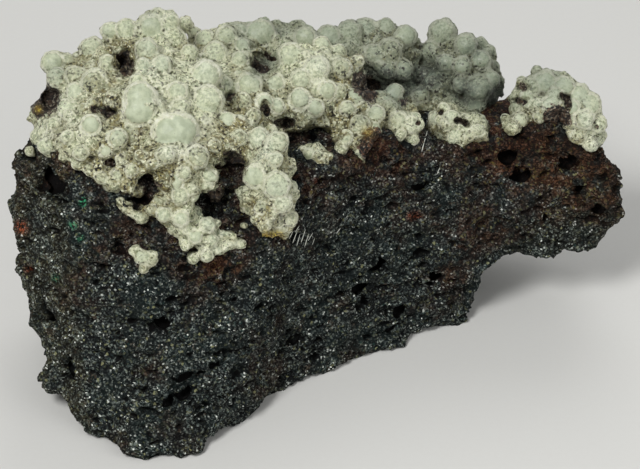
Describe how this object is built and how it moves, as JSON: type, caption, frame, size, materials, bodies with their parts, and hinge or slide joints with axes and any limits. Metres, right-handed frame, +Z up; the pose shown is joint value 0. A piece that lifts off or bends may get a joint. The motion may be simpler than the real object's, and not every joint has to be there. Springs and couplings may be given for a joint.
{
  "type": "sal ammoniac specimen",
  "caption": "Hand specimen of sal ammoniac: a pale, rounded botryoidal crust on a loose block of dark vesicular lava, resting on its flat base.",
  "frame": {"origin": "under the middle of the specimen's box, at the height of its flat base", "axes": "+Z up as it rests, +X to the right and +Y away from a viewer who faces the crust"},
  "size_m": [0.0718, 0.0484, 0.0388],
  "materials": {
    "lava": "rough, vesicular",
    "sal_ammoniac": "waxy, finely granular"
  },
  "bodies": {
    "root": {"lava": "lava", "crust": "sal_ammoniac", "crust_cap": "sal_ammoniac", "crust_saddle": "sal_ammoniac", "crust_fleck": "sal_ammoniac", "crust_beads": "sal_ammoniac"}
  },
  "joints": []
}
